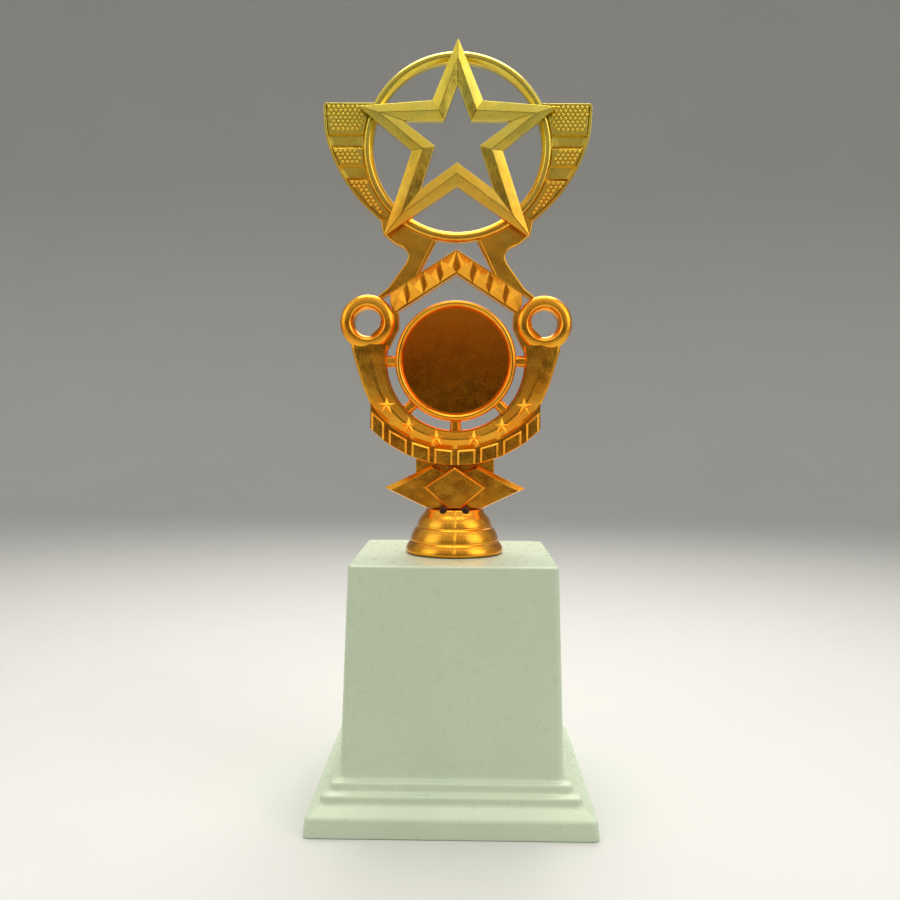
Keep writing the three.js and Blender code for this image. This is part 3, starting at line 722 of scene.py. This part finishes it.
# ---------------------------------------------------------------- band, tiles and small stars
BAND_START, BAND_SWEEP, BAND_STEPS = -192.5, 205, 120
BAND_SECTION = [  # share of the way out from the cup side, and depth
    (0.0, 3.0), (0.0, -2.6), (0.015, -3.1), (0.05, -3.5), (0.1, -3.6), (0.16, -3.5), (0.4, -4.15),
    (0.47, -4.25), (0.54, -4.15), (0.9, -3.3), (0.96, -3.0), (1.0, -2.4), (1.0, 2.5), (0.97, 3.0),
]
SMALL_STARS = ((7.1, 133.7), (17.65, 138.3), (26.1, 145.8))
SMALL_STAR_POINT_R, SMALL_STAR_NOTCH_R, SMALL_STAR_PEAK = 3.4, 1.3, 0.03
STRIP_TUCK = 0.4  # how far the strip reaches into the band
STRIP_FRONT_Y, TILE_FRONT_Y, TILE_EDGE_Y, TILE_BACK_Y = -3.5, -6.6, -6.05, -3.0
TILES_A_SIDE = 4
TILE_PITCH, TILE_WIDTH, TILE_HEIGHT = 8.65, 7.0, 5.7
END_TILE_WIDTH, END_TILE_HEIGHT = 5.0, 7.0
TILE_SIDE_CHAMFER, TILE_TOP_CHAMFER, TILE_FOOT_CHAMFER = 0.85, 0.7, 0.2


def side_edge():
    """Right outer edge of the band, from the tile strip up to the eyelet."""
    start = STRIP_CENTRE_Z - math.sqrt(STRIP_INNER_R ** 2 - STRIP_HALF ** 2)
    return [(STRIP_HALF, start), (32.75, 146.9), (35.8, 154.2), (37.8, 160.7), (39.8, 167.8), (40.2, 173.5)]


def crossing(origin, angle, line):
    """Distance from the origin, along an angle, to the first crossing with a line of points."""
    parallel, slack = 1e-9, 1e-6
    direction = Vector((math.cos(angle), math.sin(angle)))
    best = None
    for a, b in zip(line, line[1:]):
        p, q = Vector(a) - Vector(origin), Vector(b) - Vector(origin)
        edge = q - p
        cross = direction.x * edge.y - direction.y * edge.x
        if abs(cross) < parallel:
            continue
        distance = (p.x * edge.y - p.y * edge.x) / cross
        share = (p.x * direction.y - p.y * direction.x) / cross
        if distance > 0 and -slack <= share <= 1 + slack and (best is None or distance < best):
            best = distance
    return best


def band():
    """Horseshoe whose face rises to a soft ridge along its middle, with a rounded lip on the cup's side."""
    seam = math.degrees(math.acos(STRIP_HALF / STRIP_INNER_R))
    bottom = arc(0, STRIP_CENTRE_Z, STRIP_INNER_R, -180 + seam, -seam, 40)
    edge = mirrored(side_edge()) + bottom[1:-1] + side_edge()
    loops = []
    for i in range(BAND_STEPS + 1):
        angle = math.radians(BAND_START + BAND_SWEEP * i / BAND_STEPS)
        outer = crossing((0, CUP_Z), angle, edge)
        radii = [BAND_INNER_R + (outer - BAND_INNER_R) * share for share, _ in BAND_SECTION]
        loops.append([(radius * math.cos(angle), y, CUP_Z + radius * math.sin(angle))
                      for radius, (_, y) in zip(radii, BAND_SECTION)])
    return loft(loops)


def small_star(x, z):
    """Raised star with five thin arms and sharp ridges."""
    corners = [(math.radians(90 + 36 * i), SMALL_STAR_NOTCH_R if i % 2 else SMALL_STAR_POINT_R)
               for i in range(10)]
    outline = [(x + radius * math.cos(a), z + radius * math.sin(a)) for a, radius in corners]
    peak = [(x + (px - x) * SMALL_STAR_PEAK, z + (pz - z) * SMALL_STAR_PEAK) for px, pz in outline]
    return layers([(outline, -2.6), (outline, -4.2), (peak, -4.95)])


def tile_strip():
    """Curved strip that carries the tiles. Its upper edge is tucked into the band."""
    back = box_mm("tile_strip")[1].y
    inner_r = STRIP_INNER_R - STRIP_TUCK
    outer = math.degrees(math.acos(STRIP_HALF / STRIP_OUTER_R))
    inner = math.degrees(math.acos(STRIP_HALF / inner_r))
    outline = (arc(0, STRIP_CENTRE_Z, STRIP_OUTER_R, -180 + outer, -outer, 60)
               + arc(0, STRIP_CENTRE_Z, inner_r, -inner, -180 + inner, 60))
    return plate(outline, STRIP_FRONT_Y, back, 0.3, 2)


def tile(index):
    """Tile of the right half: upright sides, and a top and bottom that follow the strip, all chamfered."""
    last = index == TILES_A_SIDE - 1
    left = TILE_PITCH * (index + 0.5) - TILE_WIDTH / 2
    right = left + (END_TILE_WIDTH if last else TILE_WIDTH)
    tall = END_TILE_HEIGHT if last else TILE_HEIGHT
    low_r = STRIP_OUTER_R - 0.15
    low_left, low_right = (STRIP_CENTRE_Z - math.sqrt(low_r ** 2 - x ** 2) for x in (left, right))
    slope = (low_right - low_left) / (right - left)
    side, top, bottom = TILE_SIDE_CHAMFER, TILE_TOP_CHAMFER, TILE_FOOT_CHAMFER
    base = [(left, low_left), (right, low_right), (right, low_right + tall), (left, low_left + tall)]
    face = [(left + side, low_left + bottom + slope * side),
            (right - side, low_right + bottom - slope * side),
            (right - side, low_right + tall - top - slope * side),
            (left + side, low_left + tall - top + slope * side)]
    return round_edges(layers([(face, TILE_FRONT_Y), (base, TILE_EDGE_Y), (base, TILE_BACK_Y)]), 0.14)


def build_band():
    stars = [small_star(side * x, z) for x, z in SMALL_STARS for side, _ in SIDES]
    piece("horseshoe_band", [band()] + stars, GOLD, "gold_plating", "figure", "lower_band", sharp=28)
    tiles = [bm for i in range(TILES_A_SIDE) for side, _ in SIDES for bm in on_side(side, [tile(i)])]
    piece("tile_row", [tile_strip()] + tiles, GOLD, "gold_plating", "figure", "tile_strip")


# ---------------------------------------------------------------- eyelets, chevron and struts
CHEVRON_CELLS, CHEVRON_PITCH, CHEVRON_THICKNESS = 4, 6.25, 9.6
CHEVRON_BORDER, CHEVRON_LIP = 0.5, 0.75
CHEVRON_EDGE_Y, CHEVRON_PEAK_Y, CHEVRON_PEAK = -3.0, -5.5, 0.015
CHEVRON_CUT_X, CHEVRON_CUT_TOP_Z = 1.6, 184.3
STRUT_INNER_X, STRUT_BORDER_X, STRUT_FOOT_X, STRUT_SUNK = 14.2, 15.8, 27.9, 0.5


def eyelet():
    """Right eye, which bulges towards the front, with a bead at the hole, and its tab to the band."""
    low, high = box_mm("right_eyelet")
    front = low.y
    profile = rounded([
        (5.0, high.y - 0.6), (5.1, front + 2.6), (5.7, front + 1.2), (6.4, front + 0.35), (7.0, front),
        (7.7, front + 0.1), (8.6, front + 0.3), (9.5, front + 0.75), (10.15, front + 1.35),
        (EYELET_R, front + 2.1), (EYELET_R, high.y - 0.8), (EYELET_R - 0.8, high.y), (5.8, high.y),
    ], 0.35, 3)
    eye = lathe(profile, 96, (EYELET_X, EYELET_Z))
    shape = rounded([
        (21.7, 175.4), (25.8, 167), (33.7, 166.6), (39.6, 167.6), (39.4, 171), (33.6, 171.5), (29, 176),
        (28, 182.8), (26, 184.0), (21.7, 180.9),
    ], 0.6)
    return [plate(shape, -2.9, 2.5, 0.7), eye]


def chevron_line(x):
    return CHEVRON_TOP - CHEVRON_SLOPE * abs(x)


def pyramid(index):
    """Four-sided pyramid on one cell. The outermost cell's lower corner is cut off beside the eyelet."""
    near, far = index * CHEVRON_PITCH, (index + 1) * CHEVRON_PITCH
    top = [chevron_line(x) - CHEVRON_BORDER for x in (near, far)]
    bottom = [chevron_line(x) - CHEVRON_THICKNESS + CHEVRON_LIP for x in (near, far)]
    base = [(near, top[0]), (near, bottom[0]), (far, bottom[1]), (far, top[1])]
    if index == CHEVRON_CELLS - 1:
        base[2:3] = [(far - CHEVRON_CUT_X, bottom[1] + CHEVRON_CUT_X * CHEVRON_SLOPE),
                     (far - 0.1, bottom[1] + 4.1)]
    x0, z0 = (near + far) / 2, (top[0] + bottom[1]) / 2 + 0.3
    peak = [(x0 + (x - x0) * CHEVRON_PEAK, z0 + (z - z0) * CHEVRON_PEAK) for x, z in base]
    return layers([(peak, CHEVRON_PEAK_Y), (base, CHEVRON_EDGE_Y), (base, -2.0)])


def chevron():
    """Bent bar with a thin border above and below the row of pyramids on each of its halves."""
    back = box_mm("chevron_bar")[1].y
    half = CHEVRON_CELLS * CHEVRON_PITCH
    cut_x = half - CHEVRON_CUT_X
    inner = CHEVRON_TOP - CHEVRON_THICKNESS
    right = [(half, chevron_line(half)), (half, CHEVRON_CUT_TOP_Z), (cut_x, inner - CHEVRON_SLOPE * cut_x)]
    outline = [(0, CHEVRON_TOP)] + right + [(0, inner)] + mirrored(right)
    bar = plate(outline, CHEVRON_EDGE_Y - 0.15, back, 0.3, 2)
    cells = [pyramid(i) for i in range(CHEVRON_CELLS)]
    return [bar] + cells + [mirror_x(pyramid(i)) for i in range(CHEVRON_CELLS)]


def strut():
    """Right leg, with a broad bevel on its waisted outer side and a raised border on its inner side."""
    ring_r = RING_R - 0.3
    start = math.degrees(math.asin(7.7 / ring_r)) - 90
    waist = spline([(28.1, 211.4), (23.8, 207.8), (20.0, 205.9), (18.5, 203.2), (19.3, 200.3)], 6)
    foot, inner, border = ((x, chevron_line(x) - STRUT_SUNK)
                           for x in (STRUT_FOOT_X, STRUT_INNER_X, STRUT_BORDER_X))
    outline = (arc(0, RING_Z, ring_r, start, -46, 14) + [(29, 216.2)] + waist
               + [(26.1, 190.8), (30.8, 187), foot, inner])
    strip = [(7.6, 208.3), (9.1, 208.9), border, inner]
    return [plate(outline, -2.0, 2.5, 0.9, 4), plate(strip, -2.6, 0, 0.3)]


def build_middle():
    for side, word in SIDES:
        piece(f"eye_{word}", on_side(side, eyelet()), GOLD, "gold_plating", "figure", f"{word}_eyelet")
        piece(f"leg_{word}", on_side(side, strut()), GOLD, "gold_plating", "figure", f"{word}_strut")
    piece("chevron", chevron(), GOLD, "gold_plating", "figure", "chevron_bar")


# ---------------------------------------------------------------- ring, wings and star
RING_INNER_R = 32.0
RING_WALL_Y = -1.1
IN_RING_R = RING_R - 0.4  # the wings reach this far into the ring
WING_EDGE = spline([(50.85, 258.8), (49.9, 247.7), (45.6, 236.1), (38.3, 225.2), (29.3, 216.4)], 10)
WING_CORNER_X = 50.9
WING_FLOOR_Y, WING_SLOPE_Y, WING_PANEL_Y, WING_RIM_Y = -0.7, -1.15, -2.2, -2.5
DOT_PITCH, DOT_ROW, DOT_R, DOT_HEIGHT = 1.8, 1.38, 0.8, 0.7


def ring():
    """Flat-faced ring with a steep chamfer on the inside of its front."""
    front, back = RING_LOW.y, RING_HIGH.y
    profile = rounded([
        (RING_INNER_R, back - 0.7), (RING_INNER_R, RING_WALL_Y), (RING_INNER_R + 0.2, RING_WALL_Y - 0.35),
        (RING_INNER_R + 1.5, front), (RING_R - 1.0, front), (RING_R, front + 1.1), (RING_R, back - 0.7),
        (RING_R - 0.7, back), (RING_INNER_R + 0.7, back),
    ], 0.4, 3)
    return lathe(profile, 160, (0, RING_Z))


def wing_x(z, inset=0.0):
    """x of the wing's outer edge at one height, measured in from the edge."""
    for (x0, z0), (x1, z1) in zip(WING_EDGE, WING_EDGE[1:]):
        if z1 <= z <= z0:
            slope = (x1 - x0) / (z1 - z0)
            return x0 + slope * (z - z0) - inset * math.sqrt(1 + slope * slope)
    return WING_EDGE[0 if z > WING_EDGE[0][1] else -1][0] - inset


def ring_x(z, radius):
    return math.sqrt(max(0.0, radius ** 2 - (z - RING_Z) ** 2))


def heights(low, high, steps):
    return [low + (high - low) * i / steps for i in range(steps + 1)]


def wing_field(low, high, inset, radius):
    """Outline between the wing's outer edge and a circle round the ring's middle."""
    levels = heights(low, high, 14)
    return [(wing_x(z, inset), z) for z in levels] + [(ring_x(z, radius), z) for z in reversed(levels)]


def panel(low, high, inset, top_slope):
    """Raised field of a wing, with a bevelled top and an undercut lower wall."""
    base = wing_field(low + 0.5, high, inset, RING_R - 0.3)
    face = wing_field(low, high - top_slope, inset + 0.3, RING_R)
    middle_y = WING_PANEL_Y + min(1.2, 0.5 + top_slope)
    return round_edges(layers([(face, WING_PANEL_Y), (base, middle_y), (base, 0.2)]), 0.12)


def slope_strip(low, high, inner, outer, inner_y, outer_y):
    """Sloped strip that runs up the wing between two lines, given as functions of the height."""
    return loft([[(inner(z), inner_y, z), (outer(z), outer_y, z), (outer(z), 0.5, z), (inner(z), 0.5, z)]
                 for z in heights(low, high, 36)])


def dots(low, high, inset):
    """Staggered rows of small bumps between the rim and the ring."""
    bumps = []
    corner_x = wing_x(high, inset + 0.75)
    for row in range(int((high - low) / DOT_ROW) + 1):
        z = high - row * DOT_ROW
        x = corner_x - (DOT_PITCH / 2 if row % 2 else 0.0)
        while x > ring_x(z, RING_R + 1.2):
            if x < wing_x(z, inset + 0.6):
                bumps.append(dome(x, WING_PANEL_Y, z, DOT_R, DOT_HEIGHT))
            x -= DOT_PITCH
    return bumps


def wing():
    """Right wing: backing plate, rolled rim, sloped borders beside ring and rim, and dotted panels."""
    top, low = WING_HIGH.z, WING_LOW.z
    corner = rounded([(44, top), (WING_CORNER_X, top), WING_EDGE[3]], 1.4, 4, closed=False)[1:-1]
    edge = corner + [point for point in WING_EDGE if point[1] < corner[-1][1]]
    inner = [(ring_x(z, IN_RING_R), z) for z in heights(low, top, 20)]
    back_plate = plate(edge + inner, WING_FLOOR_Y, 2.0, 0.3, 2)
    bar_z = top - 0.75
    rim_inner = [(wing_x(z, 0.95), z) for _, z in edge if z < top - 1.2]
    rim = plate([(ring_x(top, IN_RING_R), top)] + edge + rim_inner[::-1]
                + [(49.3, bar_z), (ring_x(bar_z, IN_RING_R), bar_z)], WING_RIM_Y, 0.2, 0.3)
    strip_low, strip_high = low + 1, top - 0.5
    beside_ring = slope_strip(strip_low, strip_high, lambda z: ring_x(z, IN_RING_R),
                              lambda z: ring_x(z, RING_R + 2.3), WING_SLOPE_Y, WING_FLOOR_Y)
    beside_rim = slope_strip(strip_low, strip_high, lambda z: wing_x(z, 2.1), lambda z: wing_x(z, 0.8),
                             WING_FLOOR_Y, WING_SLOPE_Y)
    panels = [panel(248.7, top - 0.6, 1.15, 0.25), panel(237.1, 244.8, 1.15, 1.6),
              panel(low + 0.9, 232.5, 1.0, 1.3)]
    bumps = dots(249.5, top - 1.5, 1.3) + dots(237.9, 242.4, 1.3) + dots(low + 2.0, 230.4, 1.1)
    return [back_plate, rim, beside_ring, beside_rim] + panels + bumps


def star_outline(top, upper, side, waist, lower, bottom):
    right = [upper, side, waist, lower]
    return [(0, top)] + right + [(0, bottom)] + mirrored(right)


def star():
    """Open star with a soft ridge along every arm and upright side walls."""
    outer = star_outline(STAR_HIGH.z, (9.6, 260.1), (37.3, 258), (17, 241.5), (27.6, 209.4), 228.3)
    ridge = star_outline(275.7, (7.1, 256.1), (29.4, 255.3), (12.8, 241.8), (21, 217.3), 232.8)
    inner = star_outline(266.5, (5, 252.7), (20.5, 252.6), (8.45, 243.3), (13.65, 227.2), 237.2)
    edge_y = STAR_LOW.y + 1.2
    levels = [(outer, STAR_HIGH.y), (outer, edge_y), (ridge, STAR_LOW.y), (inner, edge_y),
              (inner, STAR_HIGH.y)]
    return round_edges(layers(levels, ring=True), 0.22, angle=15)


def build_top():
    piece("halo_ring", [ring()], GOLD, "gold_plating", "figure", "ring")
    for side, word in SIDES:
        piece(f"wing_{word}", on_side(side, wing()), GOLD, "gold_plating", "figure", f"{word}_wing")
    piece("star", [star()], GOLD, "gold_plating", "figure", "star_emblem", sharp=24)


# ---------------------------------------------------------------- hidden hardware keeps its CAD shape
def paint_hardware():
    finishes = {
        "threaded_rod": ZINC, "lower_nut": ZINC, "lower_washer": ZINC, "foot_nut": ZINC,
        "ballast_block": CEMENT, "bottom_cover": COVER,
    }
    for name, material in finishes.items():
        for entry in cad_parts[name].material_slots:
            entry.material = material


# ---------------------------------------------------------------- studio
FLOOR_HALF_WIDTH, FLOOR_FRONT_Y, WALL_Y, WALL_TOP, SWEEP_R = 2.6, -1.3, 1.7, 1.9, 0.7
LIGHT_AIM = (0, 0, 0.16)
LIGHT_SPREAD = 80
LIGHTS = (  # name, place, width and height, power, colour
    ("key_right", (0.85, -0.5, 0.6), (0.8, 1.1), 1.05, (1.0, 0.98, 0.95)),
    ("fill_left", (-0.9, -0.45, 0.45), (0.8, 1.1), 0.62, (0.96, 1.0, 0.86)),
    ("top", (0.0, 0.2, 1.15), (0.9, 0.9), 3.2, (1.0, 0.97, 0.9)),
    ("rear", (0.1, 0.8, 0.9), (0.8, 0.8), 1.0, (1, 1, 1)),
)
ROOM_COLOR = (1.0, 0.98, 0.95, 1)
ROOM_RAMPS = (  # axis of the direction, where the ramp starts and ends, and its two strengths
    ("Y", -0.9, 0.1, 0.05, 0.4),
    ("Z", -0.02, 0.32, 0.05, 0.45),
    ("Z", 0.35, 0.75, 0.05, 0.75),
)
CAMERA_PLACE = (0.002384, -0.351248, 0.138728)
CAMERA_HEADING, CAMERA_PITCH, CAMERA_ROLL = 0.704, 1.561, 0.45
CAMERA_LENS, CAMERA_SENSOR = 36.56, 36.0


def build_stage():
    """Plain pale floor that sweeps up into a wall behind the object."""
    m = Nodes("floor_paint")
    shade = m.mix(m.noise(6, 3.0), (0.58, 0.58, 0.56, 1), (0.55, 0.55, 0.53, 1))
    paint = m.finish(shade, m.spread(m.noise(40, 3.0), 0.3, 0.7, 0.55, 0.65))
    turns = [math.radians(a) for a in range(0, 91, 6)]
    curve = [(WALL_Y - SWEEP_R + SWEEP_R * math.sin(a), SWEEP_R * (1 - math.cos(a))) for a in turns]
    profile = [(FLOOR_FRONT_Y, 0.0)] + curve + [(WALL_Y, WALL_TOP)]
    corners = [(x, y, z) for y, z in profile for x in (-FLOOR_HALF_WIDTH, FLOOR_HALF_WIDTH)]
    faces = [(2 * i, 2 * i + 1, 2 * i + 3, 2 * i + 2) for i in range(len(profile) - 1)]
    mesh = bpy.data.meshes.new("backdrop")
    mesh.from_pydata(corners, [], faces)
    mesh.polygons.foreach_set("use_smooth", [True] * len(mesh.polygons))
    mesh.materials.append(paint)
    placed("backdrop", mesh)


def build_lights():
    """Soft boxes on both sides, above and behind."""
    for name, place, (width, height), power, color in LIGHTS:
        light = bpy.data.lights.new(name, "AREA")
        light.shape = "RECTANGLE"
        light.size = width
        light.size_y = height
        light.energy = power
        light.color = color
        light.spread = math.radians(LIGHT_SPREAD)
        obj = placed(name, light)
        obj.location = place
        obj.rotation_euler = (Vector(LIGHT_AIM) - Vector(place)).to_track_quat("-Z", "Y").to_euler()


def build_room():
    """Surroundings that are dim low down in front and lighter elsewhere: the brightest of the ramps."""
    world = bpy.data.worlds.new("studio")
    world.use_nodes = True
    tree = world.node_tree
    sky = tree.nodes["Background"]
    direction = tree.nodes.new("ShaderNodeTexCoord")
    split = tree.nodes.new("ShaderNodeSeparateXYZ")
    tree.links.new(direction.outputs["Generated"], split.inputs[0])
    ramps = []
    for axis, low, high, dim, bright in ROOM_RAMPS:
        ramp = tree.nodes.new("ShaderNodeMapRange")
        ramp.interpolation_type = "SMOOTHSTEP"
        tree.links.new(split.outputs[axis], ramp.inputs["Value"])
        for key, number in (("From Min", low), ("From Max", high), ("To Min", dim), ("To Max", bright)):
            ramp.inputs[key].default_value = number
        ramps.append(ramp.outputs["Result"])
    strength = ramps[0]
    for other in ramps[1:]:
        brighter = tree.nodes.new("ShaderNodeMath")
        brighter.operation = "MAXIMUM"
        tree.links.new(strength, brighter.inputs[0])
        tree.links.new(other, brighter.inputs[1])
        strength = brighter.outputs[0]
    tree.links.new(strength, sky.inputs["Strength"])
    sky.inputs["Color"].default_value = ROOM_COLOR
    bpy.context.scene.world = world
    bpy.context.scene.view_settings.view_transform = "Standard"


def build_camera():
    """Stands 0.35 m in front of the object's middle, at about half its height, and looks slightly down."""
    camera = bpy.data.cameras.new("camera")
    camera.lens = CAMERA_LENS
    camera.sensor_width = CAMERA_SENSOR
    camera.clip_start = 0.01
    obj = placed("camera", camera)
    turn = (Matrix.Rotation(math.radians(CAMERA_HEADING), 4, "Z")
            @ Matrix.Rotation(math.pi / 2 - math.radians(CAMERA_PITCH), 4, "X")
            @ Matrix.Rotation(math.radians(CAMERA_ROLL), 4, "Z"))
    obj.matrix_world = Matrix.Translation(CAMERA_PLACE) @ turn
    bpy.context.scene.camera = obj


build_camera()
build_plinth()
build_base()
build_medallion()
build_band()
build_middle()
build_top()
paint_hardware()
build_stage()
build_lights()
build_room()
